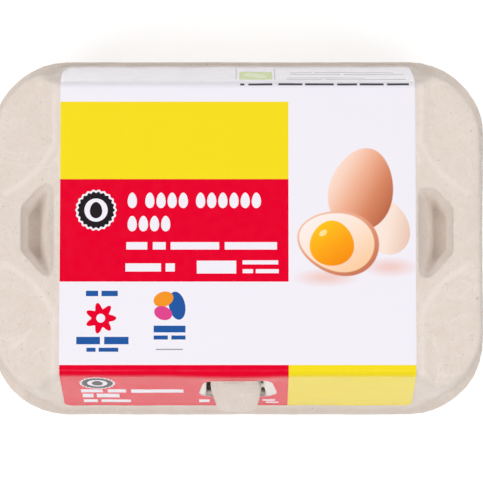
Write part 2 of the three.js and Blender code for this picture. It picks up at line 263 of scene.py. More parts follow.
class PulpSettings(bpy.types.PropertyGroup):
    colour: colour_setting("Pulp", "Colour of the grey beige pulp", paint(231, 221, 213))
    fleck: colour_setting("Flecks", "Colour of the darker fibres and specks", paint(150, 130, 112))
    voxel: length_setting("Fineness", "Size of the faces of the moulded halves", 0.82 * MM, 0.3 * MM)
    lock_voxel: length_setting(
        "Lock fineness", "Size of the faces of the lock and the fold", 0.38 * MM, 0.2 * MM,
    )
    waviness: length_setting("Waviness", "How far the moulded walls wander from true", 0.16 * MM)
    lumps: length_setting("Lumps", "Height of the small lumps of fibre", 0.06 * MM)
    fuzz: share_setting("Fuzz", "How evenly light the felted surface looks, also where it is steep", 0.7)
    rounds: IntProperty(
        name="Softness", description="How many times the moulded edges are smoothed",
        default=3, min=0, max=12,
    )


class LabelSettings(bpy.types.PropertyGroup):
    paper: colour_setting("Paper", "Colour of the unprinted paper", paint(241, 237, 245))
    yellow: colour_setting("Yellow", "Colour of the yellow fields", paint(245, 221, 32))
    red: colour_setting("Red", "Colour of the red fields", paint(231, 0, 44))
    dark: colour_setting("Dark", "Colour of the rosettes", paint(35, 30, 34))
    thickness: length_setting(
        "Thickness", "Thickness of the paper, which reaches just into the pulp", 0.4 * MM, 0.05 * MM,
    )
    lift: length_setting("Lift", "How far the printed side stands off the lid", 0.2 * MM)
    roughness: share_setting("Roughness", "Roughness of the coated paper", 0.2)
    gloss: share_setting("Gloss", "How strongly the coating reflects", 0.3)


class StageSettings(bpy.types.PropertyGroup):
    floor: colour_setting("Floor", "Colour of the floor", (0.9, 0.9, 0.9))
    glow: FloatProperty(
        name="Floor glow", description="Light that the floor gives off by itself", default=0.34, min=0,
    )
    sky: FloatProperty(
        name="Sky", description="Brightness of the light from all round", default=0.2, min=0,
    )
    lamps: FloatProperty(
        name="Lamps", description="Mean power of the soft boxes", default=4.05, min=0, unit="POWER",
    )
    distance: length_setting("Distance", "From the camera to the middle of the lid's top", 868 * MM, 0.1)
    elevation: FloatProperty(
        name="Elevation", description="Angle of the camera above the floor",
        default=math.radians(85), subtype="ANGLE",
    )
    lens: FloatProperty(name="Lens", description="Focal length", default=219, min=10, unit="CAMERA")


class Wiring:
    """Adds nodes to one tree, each wired as it is made."""

    def __init__(self, tree):
        self.tree = tree

    def feed(self, socket, value):
        if isinstance(value, bpy.types.NodeSocket):
            self.tree.links.new(value, socket)
        elif value is not None:
            socket.default_value = value

    def node(self, kind, sockets=(), **settings):
        made = self.tree.nodes.new("ShaderNode" + kind)
        for name, value in settings.items():
            setattr(made, name, value)
        for name, value in dict(sockets).items():
            self.feed(made.inputs[name], value)
        return made

    def math(self, operation, *values):
        made = self.node("Math", operation=operation)
        for socket, value in zip(made.inputs, values):
            self.feed(socket, value)
        return made.outputs[0]

    def vector(self, operation, *values, out="Vector"):
        made = self.node("VectorMath", operation=operation)
        for socket, value in zip(made.inputs, values):
            self.feed(socket, value)
        return made.outputs[out]

    def mix(self, share, base, over):
        made = self.node("Mix", data_type="RGBA")
        for index, value in ((0, share), (6, base), (7, over)):
            if isinstance(value, tuple) and len(value) == 3:
                value = (*value, 1)
            self.feed(made.inputs[index], value)
        return made.outputs[2]

    def grain(self, place, scale, detail=2.0, rough=0.5, twist=0.0):
        made = self.node("TexNoise", {
            "Vector": place, "Scale": scale, "Detail": detail,
            "Roughness": rough, "Distortion": twist,
        })
        return made.outputs["Fac"]

    def between(self, value, low, high, to_low=0.0, to_high=1.0):
        made = self.node("MapRange", {
            "Value": value, "From Min": low, "From Max": high,
            "To Min": to_low, "To Max": to_high,
        })
        return made.outputs[0]

    def ramp(self, value, stops, steps=False):
        """stops are places with brightnesses or colours."""
        made = self.node("ValToRGB", {"Fac": value})
        band = made.color_ramp
        band.interpolation = "CONSTANT" if steps else "LINEAR"
        while len(band.elements) < len(stops):
            band.elements.new(1)
        for element, (place, shade) in zip(band.elements, stops):
            element.position = place
            element.color = (shade, shade, shade, 1) if isinstance(shade, (int, float)) else (*shade, 1)
        return made.outputs[0]

    def either(self, masks):
        """1 where any of the masks is 1."""
        joined, *others = masks
        for mask in others:
            joined = self.math("MAXIMUM", joined, mask)
        return joined


def fresh_material(name):
    """A material with only a shader and an output, and the wiring to add the rest."""
    material = bpy.data.materials.new(name)
    material.use_nodes = True
    material.node_tree.nodes.clear()
    wiring = Wiring(material.node_tree)
    shader = wiring.node("BsdfPrincipled")
    wiring.node("OutputMaterial", {"Surface": shader.outputs["BSDF"]})
    return material, wiring, shader


def tinted(colour, tint):
    return tuple(channel * share for channel, share in zip(colour, tint))


# Noise in the pulp: its stretch and shift, scale per metre, detail, roughness and twist
PULP_NOISE = {
    "clouds": ((1, 1, 1), (0, 0, 0), 55, 3.0, 0.55, 0.0),
    "blotches": ((1, 1, 1), (0, 0, 0), 300, 3.0, 0.6, 0.8),
    "stains": ((1, 1, 1), (0.3, 0.1, 0.2), 170, 2.0, 0.5, 1.2),
    "fibres": ((1.0, 0.35, 0.6), (0, 0, 0), 1500, 2.0, 0.6, 2.4),
    "felt": ((1, 1, 1), (0, 0, 0), 2600, 2.0, 0.6, 0.0),
    "swirls": ((1, 1, 1), (0.7, 0.4, 0.9), 42, 1.5, 0.5, 2.2),
}
GRAIN_RANGE = (0.3, 0.7)  # where most of a noise lies
CLOUD_TINT = (0.965, 0.955, 0.95)
# Tints: the noise that places them, where in it they start and are full, their strength and colour
PULP_TINTS = (
    ("blotches", 0.45, 0.72, 0.75, (0.955, 0.915, 0.89)),
    ("stains", 0.52, 0.70, 0.55, (0.955, 0.965, 0.93)),
    ("blotches", 0.42, 0.26, 0.6, (1.05, 1.05, 1.05)),
)
SWIRL_LINES = (0.012, 0.38)  # half width in the noise and strength of the pale lines
# Paler tint for the pale swirl lines in the pulp, and for the painted highlight on the crests and the
# painted light on the ears
SWIRL_AND_PAINTED_LIGHT_TINT = (1.1, 1.13, 1.17)
FIBRE_MARKS = (0.60, 0.76, 0.34)  # noise where they start and are full, and strength
SPECKS = ((520.0, 0.88, 0.4), (240.0, 0.965, 0.25))  # scale, share of cells without one, and strength
SPECK_EDGE = (0.08, 0.17)
PULP_ROUGHNESS = (0.88, 0.98)
PULP_GLOSS = 0.25
# Strength and height in millimetres
PULP_BUMPS = (("blotches", 0.35, 0.22), ("fibres", 0.3, 0.07), ("felt", 0.3, 0.05))


def pulp_colour(w, pulp, place, grains):
    """The pulp's colour: cloudy, stained, with pale swirl lines, painted light on the crests and on the
    ears beside the button, fibres and specks.
    """
    plain, fleck = tuple(pulp.colour), tuple(pulp.fleck)
    colour = w.mix(w.between(grains["clouds"], *GRAIN_RANGE), tinted(plain, CLOUD_TINT), plain)
    for name, start, full, strength, tint in PULP_TINTS:
        colour = w.mix(w.between(grains[name], start, full, 0.0, strength), colour, tinted(plain, tint))
    off_line = w.math("ABSOLUTE", w.math("SUBTRACT", grains["swirls"], 0.5))
    ridge = w.between(off_line, 0.0, SWIRL_LINES[0], SWIRL_LINES[1], 0.0)
    # Pale swirl lines, plus painted light where the attribute is set: a painted highlight on the crests
    # and painted light on the shaded ears
    painted_light = w.node("Attribute", attribute_name=PAINTED_LIGHT).outputs["Fac"]
    colour = w.mix(w.math("MAXIMUM", ridge, painted_light), colour, tinted(plain, SWIRL_AND_PAINTED_LIGHT_TINT))
    start, full, strength = FIBRE_MARKS
    colour = w.mix(w.between(grains["fibres"], start, full, 0.0, strength), colour, fleck)
    for scale, empty, strength in SPECKS:
        cells = w.node("TexVoronoi", {"Vector": place, "Scale": scale}, feature="F1")
        near = w.between(cells.outputs["Distance"], *SPECK_EDGE, strength, 0.0)
        chance = w.node("SeparateColor", {"Color": cells.outputs["Color"]}).outputs[0]
        colour = w.mix(w.math("MULTIPLY", near, w.math("GREATER_THAN", chance, empty)), colour, fleck)
    return colour


def pulp_material(pulp):
    """Grey beige moulded pulp with a felted surface."""
    _, w, shader = fresh_material(PULP)
    place = w.node("TexCoord").outputs["Object"]
    grains = {
        name: w.grain(w.vector("MULTIPLY_ADD", place, stretch, shift), *noise_values)
        for name, (stretch, shift, *noise_values) in PULP_NOISE.items()
    }
    w.feed(shader.inputs["Base Color"], pulp_colour(w, pulp, place, grains))
    w.feed(shader.inputs["Roughness"], w.between(grains["blotches"], *GRAIN_RANGE, *PULP_ROUGHNESS))
    shader.inputs["Diffuse Roughness"].default_value = pulp.fuzz
    shader.inputs["Specular IOR Level"].default_value = PULP_GLOSS
    normal = None
    for name, strength, height in PULP_BUMPS:
        bump = w.node("Bump", {
            "Height": grains[name], "Strength": strength, "Distance": height * MM, "Normal": normal,
        })
        normal = bump.outputs[0]
    w.feed(shader.inputs["Normal"], normal)


def mesh_of(piece):
    """A bmesh of a piece's mesh."""
    bm = bmesh.new()
    bm.from_mesh(piece.data)
    return bm


def put_back(bm, piece):
    """Writes a bmesh back to its piece and frees it."""
    bm.to_mesh(piece.data)
    bm.free()


def merged_copy(node):
    """A bmesh of a CAD node with its loose triangles merged."""
    bm = mesh_of(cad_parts[node])
    bmesh.ops.remove_doubles(bm, verts=bm.verts, dist=MERGE_DISTANCE)
    return bm


def slice_across(bm, axis, places):
    """Cuts bm at places along an axis, so that it can bend there."""
    normal = Vector((0, 0, 0))
    normal[axis] = 1
    for place in places:
        bmesh.ops.bisect_plane(
            bm, geom=[*bm.verts, *bm.edges, *bm.faces], dist=MERGE_DISTANCE,
            plane_co=place * normal, plane_no=normal,
        )


def inner_steps(count):
    """The places that part the length 1 into equal steps."""
    return [i / count for i in range(1, count)]


def keep_below(bm, height):
    """Drops what lies over a height and closes the cut."""
    bmesh.ops.bisect_plane(
        bm, geom=[*bm.verts, *bm.edges, *bm.faces], dist=MERGE_DISTANCE,
        plane_co=Vector((0, 0, height)), plane_no=Vector((0, 0, 1)), clear_outer=True,
    )
    bmesh.ops.holes_fill(bm, edges=[edge for edge in bm.edges if edge.is_boundary])


def face_outwards(bm):
    """Turns the faces of a closed shape that is inside out."""
    if bm.calc_volume(signed=True) < 0:
        bmesh.ops.reverse_faces(bm, faces=bm.faces)


def new_piece(name, bm):
    mesh = bpy.data.meshes.new(name)
    bm.to_mesh(mesh)
    bm.free()
    piece = bpy.data.objects.new(name, mesh)
    bpy.context.scene.collection.objects.link(piece)
    return piece


def apply_modifiers(piece):
    graph = bpy.context.evaluated_depsgraph_get()
    finished = bpy.data.meshes.new_from_object(piece.evaluated_get(graph))
    piece.modifiers.clear()
    old = piece.data
    piece.data = finished
    bpy.data.meshes.remove(old)


def even_skin(piece, voxel):
    """Gives a closed piece faces of one size, which also softens its edges a little."""
    modifier = piece.modifiers.new("Even skin", "REMESH")
    modifier.mode = "VOXEL"
    modifier.voxel_size = voxel
    apply_modifiers(piece)


def share_of(value, low, high):
    """Where a value lies between two others, held within 0 to 1."""
    return min(max((value - low) / (high - low), 0.0), 1.0)


def blend_of(ends, share):
    return ends[0] + (ends[1] - ends[0]) * share


def quadrant(x, y):
    return (-1 if x < 0 else 1, -1 if y < 0 else 1)


def handmade(place):
    """How far the lid's front and back wall stand out of true, and the bulge over the lock."""
    middle = 1 - share_of(abs(place.x), LEAN_HALF, LEAN_HALF + LEAN_FADE)
    down = share_of(LID_HIGH.z - place.z, 0, LID_HIGH.z - LEAN_FOOT)
    flange = share_of(place.z, SEAM, LEAN_FOOT)
    lean = middle * down * flange * share_of(abs(place.y), *LEAN_OUTSIDE)
    if place.y > 0:
        return BACK_LEAN * lean
    across = place.x / SWELL_HALF
    under_top = 1 - math.exp(min(0.0, place.z - LID_HIGH.z) / SWELL_TOP)
    above_window = share_of(place.z, SWELL_LOW, SWELL_FULL)
    return -FRONT_LEAN * lean - SWELL * math.exp(-across * across) * under_top * above_window


def pulled_tight(length):
    """Where a length from the pad's edge comes to lie when the shoulder is made tighter."""
    if length < PAD_SHOULDER:
        return length * PAD_TIGHT / PAD_SHOULDER
    eased = share_of(length, PAD_SHOULDER, PAD_SHOULDER + PAD_EASE)
    return length - (PAD_SHOULDER - PAD_TIGHT) * (1 - eased)


def pad_edge(place, up):
    """How far inside its pad's outline a place is, and the way out."""
    half_x, half_y, corner = (blend_of(ends, up) for ends in zip(PAD_FOOT[:3], PAD_HEAD[:3]))
    past = Vector((abs(place.x) - half_x + corner, abs(place.y) - half_y + corner))
    if min(past) > 0:
        return max(corner - past.length, 0), past.normalized()
    return max(corner - max(past), 0), Vector((1, 0)) if past.x > past.y else Vector((0, 1))


def pad_growth(place, up, inward, way):
    """How far a place is pushed out because its pad is larger and squarer here than in the frame."""
    foot, head = PAD_GROWTH[quadrant(place.x, place.y)]
    grow_x, grow_y, square = (MM * blend_of(ends, up) for ends in zip(foot, head))
    growth = (grow_x + square) * way.x + (grow_y + square) * way.y - square
    rise = share_of(place.z, PAD_FOOT[3], PAD_FOOT[3] + PAD_GROWTH_RISE)
    return growth * ((1 - share_of(inward, *PAD_GROWTH_FADE)) * rise)


def shoulder_shift(place):
    """How a place on the lid moves when its pads are made larger and their shoulders tighter."""
    start = share_of(abs(place.x), *PAD_START)
    if start == 0 or place.z < PAD_FOOT[3]:
        return Vector((0, 0, 0))
    depth = PAD_TOP - place.z
    up = share_of(place.z, PAD_FOOT[3], PAD_HEAD[3])
    inward, way = pad_edge(place, up)
    tightness = (inward - pulled_tight(inward)) * (1 - share_of(depth, *PAD_TIGHT_FADE))
    out = (pad_growth(place, up, inward, way) + tightness) * start
    lift = (depth - pulled_tight(depth)) * start if 0 < depth < PAD_TIGHT_FADE[1] else 0
    return Vector((
        math.copysign(way.x, place.x) * out, math.copysign(way.y, place.y) * out, lift,
    ))


def rim_shift(place):
    """How far the rim stands out at the back and at its back corners."""
    level = share_of(place.z, *RIM_RISE) * (1 - share_of(place.z, *RIM_END))
    back = share_of(place.y, *RIM_BACK_ZONE) * level
    aside = share_of(abs(place.x), RIM_STRAIGHT, LID_HIGH.x)
    return Vector((math.copysign(RIM_CORNERS_OUT * aside * back, place.x), RIM_BACK * back, 0))


def wander(place, pulp):
    """The slow waves of a moulded wall, which the label follows too."""
    return pulp.waviness * noise.fractal(place / WAVE_LENGTH, 1.0, 2.0, 3)


def unevenness(vert, pulp, calm):
    """How a vertex moves as the pulp dries: in slow waves, and in lumps where no label lies over it."""
    under_label = abs(vert.co.x) < LABEL_HALF and vert.co.z > LABEL_FOOT
    lump = 0 if under_label else pulp.lumps * noise.noise(vert.co / LUMP_LENGTH + LUMP_PLACE)
    above_floor = share_of(vert.co.z, *FEET_CALM)
    return vert.normal * calm * above_floor * (wander(vert.co, pulp) + lump)


def on_rim(place):
    """Whether a place is on the thin flange, which smoothing would shrink."""
    return abs(place.z - SEAM) < RIM_ZONE


def soften(bm, verts, rounds=1):
    for _ in range(rounds):
        bmesh.ops.smooth_vert(
            bm, verts=verts, factor=0.5, use_axis_x=True, use_axis_y=True, use_axis_z=True,
        )


def mould(piece, pulp, rounds, calm=1.0, on_lid=False):
    """Softens the edges and lets the walls wander, as pulp does when it dries."""
    bm = mesh_of(piece)
    soften(bm, bm.verts[:])
    soften(bm, [vert for vert in bm.verts if not on_rim(vert.co)], rounds - 1)
    bm.normal_update()
    moves = [unevenness(vert, pulp, calm) for vert in bm.verts]
    for vert, move in zip(bm.verts, moves):
        vert.co += move
        if on_lid:
            vert.co += shoulder_shift(vert.co)
            vert.co.y += handmade(vert.co)
        vert.co += rim_shift(vert.co)
        vert.co.z = max(vert.co.z, 0)
    put_back(bm, piece)
    piece.data.shade_smooth()


def subtract(piece, bm):
    """Cuts a closed shape out of a piece."""
    cutter = new_piece("cutter", bm)
    modifier = piece.modifiers.new("Cut", "BOOLEAN")
    modifier.operation = "DIFFERENCE"
    modifier.solver = "EXACT"
    modifier.object = cutter
    apply_modifiers(piece)
    mesh = cutter.data
    bpy.data.objects.remove(cutter)
    bpy.data.meshes.remove(mesh)


def pocket_outline(turn, share, pocket):
    """How far a pocket reaches from its middle in one direction, at a share of its height, in millimetres.
    The outline is where straight sides first stop it."""
    way = Vector((math.cos(turn), math.sin(turn)))
    corner = Vector((math.cos(POCKET_CORNER_TURN), math.sin(POCKET_CORNER_TURN)))
    flare = share ** POCKET_FLARE
    sides = (
        ((1, 0), blend_of(pocket["outer"], share) - pocket["middle"]),
        ((-1, 0), pocket["middle"] - blend_of(pocket["inner"], share ** pocket["curve"])),
        ((0, 1), blend_of(pocket["back"], flare)),
        ((0, -1), blend_of(pocket["front"], flare)),
        ((corner.x, corner.y), blend_of(pocket["back_slant"], share)),
        ((corner.x, -corner.y), blend_of(pocket["front_slant"], share)),
    )
    return min(reach / way.dot(Vector(out)) for out, reach in sides if way.dot(Vector(out)) > 1e-6)


def pocket_shape(side, pocket, grow=0.0, over=0.0):
    """The hollow of one pocket, grown all round, and carried on over its mouth."""
    bm = bmesh.new()
    bmesh.ops.create_cone(
        bm, cap_ends=True, segments=POCKET_SIDES, radius1=1, radius2=1, depth=1,
        matrix=Matrix.Translation((0, 0, 0.5)),
    )
    slice_across(bm, 2, inner_steps(POCKET_STEPS))
    floor = pocket["low"] * MM
    for vert in bm.verts:
        height = blend_of((floor - grow, LID_HIGH.z + over), vert.co.z)
        share = share_of(height, floor, LID_HIGH.z)
        reach = grow + MM * pocket_outline(math.atan2(vert.co.y, vert.co.x), share, pocket)
        vert.co = Vector((side * (pocket["middle"] * MM + reach * vert.co.x), reach * vert.co.y, height))
    face_outwards(bm)
    return bm


def add_to(bm, other):
    """Adds another bmesh to the first and frees it."""
    made = bpy.data.meshes.new("part")
    other.to_mesh(made)
    other.free()
    bm.from_mesh(made)
    bpy.data.meshes.remove(made)


def at_mouth(edge):
    """Whether an edge is a sharp one at a pocket's mouth."""
    place = edge.verts[0].co
    beside = abs(place.x) > MOUTH_ZONE[0] and abs(place.y) < MOUTH_ZONE[1] and place.z > MOUTH_ZONE[2]
    return edge.is_manifold and beside and edge.calc_face_angle(0) > MOUTH_SHARP


def soften_pockets(piece):
    """Takes the knife edge off the pockets' mouths."""
    bm = mesh_of(piece)
    near = {vert for edge in bm.edges if at_mouth(edge) for vert in edge.verts}
    wider = near | {edge.other_vert(vert) for vert in near for edge in vert.link_edges}
    for group in (wider, wider, near):
        soften(bm, list(group))
    put_back(bm, piece)


def wall_y(height):
    """Y of the outer face of the lid's front wall."""
    return (height - MIDDLE_FOOT[1]) * math.tan(WALL_TILT) - MIDDLE_FOOT[0]


def lock_room():
    """The hollow behind the window, where the flap stands."""
    bm = bmesh.new()
    bmesh.ops.create_cube(bm, size=1)
    for vert in bm.verts:
        height = FLAP_SILL - LOCK_ROOM_BELOW if vert.co.z < 0 else FLAP_TOP + LOCK_ROOM_ABOVE
        behind = WALL_THICK if vert.co.y < 0 else LOCK_ROOM_DEEP
        vert.co = Vector((2 * vert.co.x * (FLAP_HALF + LOCK_ROOM_BESIDE), wall_y(height) + behind, height))
    return bm


def crest_points():
    """Points along the crests in all four quarters: straight first, then curved out to the end."""
    first, start, bend, end = (Vector(corner) for corner in CREST)
    straight = [first.lerp(start, i / CREST_STEPS) for i in range(CREST_STEPS)]
    curve = [
        start.lerp(bend, i / CREST_STEPS).lerp(bend.lerp(end, i / CREST_STEPS), i / CREST_STEPS)
        for i in range(CREST_STEPS + 1)
    ]
    return [
        Vector((side_x * point.x, side_y * point.y))
        for side_x in (-1, 1) for side_y in (-1, 1) for point in (*straight, *curve)
    ]


def crest_share(place, points):
    """How near a place on the lid's top is to a crest, from 0 to 1."""
    if place.z < LID_HIGH.z - CREST_ZONE[1] or abs(place.x) < CREST[1][0] - CREST_ZONE[0]:
        return 0
    distance = min((place.xy - point).length_squared for point in points)
    share = math.exp(-distance / CREST_WIDE ** 2)
    return share if share > CREST_LEAST else 0


def raise_crest(piece):
    """Lifts the crest a little and marks it for a painted highlight along it."""
    bm = mesh_of(piece)
    layer = bm.verts.layers.float.new(PAINTED_LIGHT)
    points = crest_points()
    for vert in bm.verts:
        share = crest_share(vert.co, points)
        # painted highlight along the crest, strongest on its line
        vert[layer] = CREST_HIGHLIGHT * share
        vert.co.z += CREST_HIGH * share
    put_back(bm, piece)


def finish_pulp(piece, node):
    piece.data.materials.clear()
    piece.data.materials.append(bpy.data.materials[PULP])
    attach(piece, ROOT)
    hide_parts(node)


def build_lid(pulp):
    bm = merged_copy("carton_lid")
    for side in (-1, 1):
        add_to(bm, pocket_shape(side, FRAME_POCKET, grow=POCKET_FILL))
    lid = new_piece("lid_shell", bm)
    subtract(lid, lock_room())
    even_skin(lid, pulp.voxel)
    raise_crest(lid)
    mould(lid, pulp, pulp.rounds, on_lid=True)
    for side in (-1, 1):
        subtract(lid, pocket_shape(side, POCKETS[side], over=MM))
    soften_pockets(lid)
    lid.data.shade_smooth()
    finish_pulp(lid, "carton_lid")


def build_base(pulp):
    bm = merged_copy("carton_base")
    keep_below(bm, BASE_TOP - BASE_TRIM)
    base = new_piece("base_cups", bm)
    even_skin(base, pulp.voxel)
    mould(base, pulp, pulp.rounds)
    finish_pulp(base, "carton_base")


def flap_front(height):
    """Y of the flap's front face: close behind the wall, then leaning back from the window's sill."""
    if height < FLAP_SILL - FLAP_BEND:
        return wall_y(height) + FLAP_BEHIND
    sill = wall_y(FLAP_SILL) + FLAP_AT_SILL
    if height < FLAP_SILL:
        below = wall_y(FLAP_SILL - FLAP_BEND) + FLAP_BEHIND
        return below + (sill - below) * (height - FLAP_SILL + FLAP_BEND) / FLAP_BEND
    return sill + FLAP_LEAN * (height - FLAP_SILL)


def add_box(bm, rows, shape):
    """Adds a cube cut into rows and columns, each corner put where shape says for its three shares."""
    box = bmesh.new()
    bmesh.ops.create_cube(box, size=1, matrix=Matrix.Translation((0.5, 0.5, 0.5)))
    slice_across(box, 2, inner_steps(rows))
    slice_across(box, 0, inner_steps(BOX_COLUMNS))
    for vert in box.verts:
        vert.co = shape(*vert.co)
    face_outwards(box)
    add_to(bm, box)


def flap_strip(left, right, low, high):
    """The shape of one upright strip of the flap."""
    def shape(across, deep, up):
        height = blend_of((low, high), up)
        return Vector((blend_of((left, right), across), flap_front(height) + FLAP_THICK * deep, height))
    return shape


def ear_strip(inner, outer):
    """The shape of the wall beside the button, flush with the lid's face.
    Its inner side is given at its foot and at its head."""
    def shape(across, deep, up):
        height = blend_of((EAR_LOW, EAR_HIGH), up)
        x = blend_of((blend_of(inner, up), outer), across)
        return Vector((x, wall_y(height) + EAR_BEHIND + WALL_THICK * deep, height))
    return shape


def button_sides(share):
    """How far the button reaches left and right at a share of its height."""
    for low, high in zip(BUTTON_SIDES, BUTTON_SIDES[1:]):
        if share <= high[0]:
            part = (share - low[0]) / (high[0] - low[0])
            return [MM * blend_of(ends, part) for ends in zip(low[1:], high[1:])]
    return [MM * end for end in BUTTON_SIDES[-1][1:]]


def button_shape(across, deep, up):
    """The button: a hook below that ramps back to the wall at the window's top."""
    height = BUTTON_LOW + (BUTTON_HIGH - BUTTON_LOW) * up
    front = -BUTTON_REACH + (wall_y(BUTTON_HIGH) + BUTTON_REACH) * up
    crown = blend_of(BUTTON_CROWN, up) * abs(2 * across - 1) ** BUTTON_CROWN_POWER
    front += crown - BUTTON_CROWN[0] - BUTTON_BULGE * math.sin(math.pi * up)
    behind = flap_front(height) + FLAP_THICK / 2
    return Vector((blend_of(button_sides(up), across), front + (behind - front) * deep, height))


def paint_light_on_ears(lock):
    """Marks the wall beside the button for painted light, which brightens it where the window's edge
    shades it.
    """
    painted_light = lock.data.attributes.new(PAINTED_LIGHT, "FLOAT", "POINT")
    for vert, place in zip(lock.data.vertices, painted_light.data):
        near_face = vert.co.y < wall_y(vert.co.z) + WALL_THICK
        beside = vert.co.x < max(EAR_LEFT) + EAR_MARGIN or vert.co.x > min(EAR_RIGHT) - EAR_MARGIN
        place.value = EAR_PAINTED_LIGHT if near_face and beside and vert.co.z > EAR_LOW else 0


def build_lock(pulp):
    """The flap behind the window, its button, and the wall's ears beside the slits."""
    bm = bmesh.new()
    strips = (
        (*SLITS, FLAP_FOOT, FLAP_TOP),
        (-FLAP_HALF, FLAP_HALF, FLAP_FOOT, SLIT_LOW),
        (-FLAP_HALF, FLAP_HALF, SLIT_HIGH, FLAP_TOP),
    )
    for strip in strips:
        add_box(bm, FLAP_ROWS, flap_strip(*strip))
    add_box(bm, FLAP_ROWS, ear_strip(EAR_LEFT, -FLAP_HALF))
    add_box(bm, FLAP_ROWS, ear_strip(EAR_RIGHT, FLAP_HALF))
    add_box(bm, BUTTON_ROWS, button_shape)
    lock = new_piece("lock_flap", bm)
    even_skin(lock, pulp.lock_voxel)
    mould(lock, pulp, pulp.rounds, LOCK_CALM, on_lid=True)
    # painted light on the shaded wall beside the button
    paint_light_on_ears(lock)
    finish_pulp(lock, "carton_base")


def hinge_bar(middle):
    """The straight strip along the back edge, with round outer edges."""
    bm = bmesh.new()
    size = Vector((2 * HINGE_HALF, HINGE_DEEP, HINGE_HIGH - HINGE_LOW))
    bmesh.ops.create_cube(bm, size=1, matrix=Matrix.LocRotScale(middle, None, size))
    outer = [
        edge for edge in bm.edges
        if all(v.co.y > middle.y for v in edge.verts) and edge.verts[0].co.z == edge.verts[1].co.z
    ]
    bmesh.ops.bevel(
        bm, geom=outer, offset=HINGE_ROUND, segments=4, profile=0.5, affect="EDGES", material=-1,
    )
    return bm


def build_hinge(pulp):
    """The strip that folds along the back edge, with a crease pressed into it."""
    middle = Vector((0, LID_HIGH.y + HINGE_PROUD - HINGE_DEEP / 2, (HINGE_LOW + HINGE_HIGH) / 2))
    bm = hinge_bar(middle)
    slice_across(bm, 2, [SEAM - HINGE_CREASE_HALF, SEAM, SEAM + HINGE_CREASE_HALF])
    for vert in bm.verts:
        if abs(vert.co.z - SEAM) < MERGE_DISTANCE and vert.co.y > middle.y:
            vert.co.y -= HINGE_CREASE
    slice_across(bm, 0, [HINGE_HALF * (2 * i / HINGE_COLUMNS - 1) for i in range(1, HINGE_COLUMNS)])
    for vert in bm.verts:
        round_corner = max(abs(vert.co.x) - RIM_STRAIGHT, 0)
        vert.co.y -= RIM_CORNER - math.sqrt(RIM_CORNER ** 2 - round_corner ** 2)
    hinge = new_piece("hinge_fold", bm)
    even_skin(hinge, pulp.lock_voxel)
    mould(hinge, pulp, 1, HINGE_CALM)
    finish_pulp(hinge, "carton_base")


class Section:
    """The label's course over the lid, measured along the sheet from the middle of the top.
    Lengths are negative towards the front."""

    def __init__(self, lift):
        self.radius = LABEL_SHOULDER + lift
        self.centre_z = LID_HIGH.z - LABEL_SHOULDER
        lean = (self.centre_z - MIDDLE_FOOT[1]) * math.tan(WALL_TILT)
        self.centre_y = MIDDLE_FOOT[0] - lean - LABEL_SHOULDER / math.cos(WALL_TILT)
        self.turn = math.pi / 2 - WALL_TILT
        self.arc_start = self.centre_y
        self.arc_end = self.arc_start + self.radius * self.turn
        arc_foot = self.centre_z + self.radius * math.sin(WALL_TILT)
        self.end = self.arc_end + (arc_foot - LABEL_FOOT) / math.cos(WALL_TILT)

    def place(self, along):
        """Y and Z at a length, and the direction outwards."""
        side = 1 if along > 0 else -1
        far = abs(along)
        if far <= self.arc_start:
            y, z, tilt = far, self.centre_z + self.radius, 0.0
        else:
            tilt = min((far - self.arc_start) / self.radius, self.turn)
            past = max(0.0, far - self.arc_end)
            y = self.centre_y + self.radius * math.sin(tilt) + past * math.cos(tilt)
            z = self.centre_z + self.radius * math.cos(tilt) - past * math.sin(tilt)
        return side * y, z, Vector((0, side * math.sin(tilt), math.cos(tilt)))

    def along_wall(self, height):
        """The length at which the front wall comes down to a height."""
        arc_foot = self.centre_z + self.radius * math.sin(WALL_TILT)
        return -(self.arc_end + (arc_foot - height) / math.cos(WALL_TILT))


def cut_lines(section):
    """Where the flat sheet is cut so that it can bend: close together over the shoulders."""
    bend = section.arc_end - section.arc_start
    wall = section.end - section.arc_end
    span = section.arc_start - SHEET_ROW / 2
    rows, wall_rows = round(2 * span / SHEET_ROW), round(wall / SHEET_ROW)
    lines = [-span + 2 * span * i / rows for i in range(rows + 1)]
    for side in (-1, 1):
        lines += [side * (section.arc_start + bend * i / BEND_STEPS) for i in range(BEND_STEPS + 1)]
        lines += [side * (section.arc_end + wall * i / wall_rows) for i in range(1, wall_rows)]
    return sorted(lines)


def round_corners(bm, corners, radius, segments):
    bmesh.ops.bevel(
        bm, geom=corners, offset=radius, segments=segments, profile=0.5, affect="VERTICES", material=-1,
    )


def flat_sheet(section):
    """The label laid flat, with round corners and the window, cut into small faces."""
    bm = bmesh.new()
    bmesh.ops.create_grid(
        bm, x_segments=1, y_segments=1, size=1,
        matrix=Matrix.Diagonal((LABEL_HALF, section.end, 1, 1)),
    )
    for end in (-1, 1):
        corners = [vert for vert in bm.verts if abs(vert.co.y - end * section.end) < MERGE_DISTANCE]
        round_corners(bm, corners, LABEL_CORNER[end], 7)
    right = [Vector((half * MM, section.along_wall(height * MM), 0)) for half, height in WINDOW]
    left = [Vector((-p.x, p.y, 0)) for p in reversed(right)]
    window = bm.faces.new([bm.verts.new(p) for p in [*right, *left]])
    round_corners(bm, window.verts[:], WINDOW_ROUND, 3)
    bmesh.ops.delete(bm, geom=bm.faces[:], context="FACES_ONLY")
    bmesh.ops.triangle_fill(bm, edges=bm.edges[:], use_beauty=True, normal=Vector((0, 0, 1)))
    columns = round(2 * LABEL_HALF / SHEET_COLUMN)
    slice_across(bm, 0, [LABEL_HALF * (2 * i / columns - 1) for i in range(1, columns)])
    slice_across(bm, 1, cut_lines(section))
    return bm


